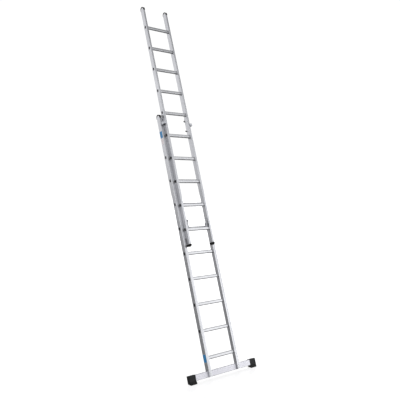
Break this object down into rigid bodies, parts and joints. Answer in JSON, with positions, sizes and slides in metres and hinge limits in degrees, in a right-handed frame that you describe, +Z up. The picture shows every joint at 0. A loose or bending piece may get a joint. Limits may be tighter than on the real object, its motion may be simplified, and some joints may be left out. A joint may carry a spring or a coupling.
{
  "type": "extension ladder",
  "caption": "Aluminium push-up extension ladder in a base and a sliding fly section, with rung hooks, top guides and a wide stabiliser bar.",
  "frame": {"origin": "on the floor, midway between the two feet, on the line where the middle plane of the base stiles meets the floor", "axes": "+Z up, +Y away from the climber, towards the wall the ladder leans on, +X to the climber's right; the ladder leans 19 degrees back from upright"},
  "size_m": [0.922, 1.4241, 4.1668],
  "materials": {
    "stile_aluminium": "mill-finish extrusion with fine lengthwise draw lines",
    "rung_aluminium": "mill-finish ribbed tube",
    "bar_aluminium": "satin extrusion",
    "black_plastic": "moulded, fine grain",
    "foot_plastic": "moulded, grained",
    "black_rubber": "matt rubber",
    "grey_nylon": "nylon",
    "zinc_steel": "zinc plated",
    "zinc_fasteners": "zinc plated",
    "blue_label": "plain printed film",
    "pale_label": "plain printed film"
  },
  "bodies": {
    "base": {"bar_bolts": "zinc_fasteners", "bar_nuts": "zinc_fasteners", "bar_spacers": "zinc_fasteners", "bar_washers": "zinc_fasteners", "base_rung_01": "rung_aluminium", "base_rung_02": "rung_aluminium", "base_rung_03": "rung_aluminium", "base_rung_04": "rung_aluminium", "base_rung_05": "rung_aluminium", "base_rung_06": "rung_aluminium", "base_rung_07": "rung_aluminium", "base_rung_08": "rung_aluminium", "base_rung_09": "rung_aluminium", "base_rung_10": "rung_aluminium", "base_rung_plugs": "black_plastic", "base_stile_left": "stile_aluminium", "base_stile_right": "stile_aluminium", "base_top_cap_left": "black_plastic", "base_top_cap_right": "black_plastic", "blue_labels": "blue_label", "data_label": "pale_label", "foot_screws": "zinc_fasteners", "foot_sole_left": "black_rubber", "foot_sole_right": "black_rubber", "guide_fingers_left": "black_plastic", "guide_fingers_right": "black_plastic", "guide_screws": "zinc_fasteners", "stabiliser_bar": "bar_aluminium", "stabiliser_foot_left": "foot_plastic", "stabiliser_foot_right": "foot_plastic", "top_guide_left": "zinc_steel", "top_guide_right": "zinc_steel"},
    "fly": {"bracket_rivets": "zinc_fasteners", "fly_boot_left": "black_rubber", "fly_boot_right": "black_rubber", "fly_rung_01": "rung_aluminium", "fly_rung_02": "rung_aluminium", "fly_rung_03": "rung_aluminium", "fly_rung_04": "rung_aluminium", "fly_rung_05": "rung_aluminium", "fly_rung_06": "rung_aluminium", "fly_rung_07": "rung_aluminium", "fly_rung_08": "rung_aluminium", "fly_rung_09": "rung_aluminium", "fly_rung_10": "rung_aluminium", "fly_rung_plugs": "black_plastic", "fly_shoe_left": "grey_nylon", "fly_shoe_right": "grey_nylon", "fly_stile_left": "stile_aluminium", "fly_stile_right": "stile_aluminium", "fly_top_cap_left": "black_plastic", "fly_top_cap_right": "black_plastic", "hook_bracket_left": "zinc_steel", "hook_bracket_right": "zinc_steel", "hook_pins": "zinc_fasteners", "hook_stop_pins": "zinc_fasteners", "shoe_rivets": "zinc_fasteners"},
    "rung_hook_left": {"rung_hook_left": "zinc_steel"},
    "rung_hook_right": {"rung_hook_right": "zinc_steel"}
  },
  "joints": [
    {"name": "fly_slide", "type": "slide", "parent": "base", "child": "fly", "axis": [0, 0.3256, 0.9455], "range_m": [-1.4, 0.56]},
    {"name": "rung_hook_left_swing", "type": "hinge", "parent": "fly", "child": "rung_hook_left", "pos_m": [-0.1325, 0.49924, 1.56662], "axis": [1, 0, 0], "range_deg": [-120, 0]},
    {"name": "rung_hook_right_swing", "type": "hinge", "parent": "fly", "child": "rung_hook_right", "pos_m": [0.1325, 0.49924, 1.56662], "axis": [1, 0, 0], "range_deg": [-120, 0]}
  ]
}
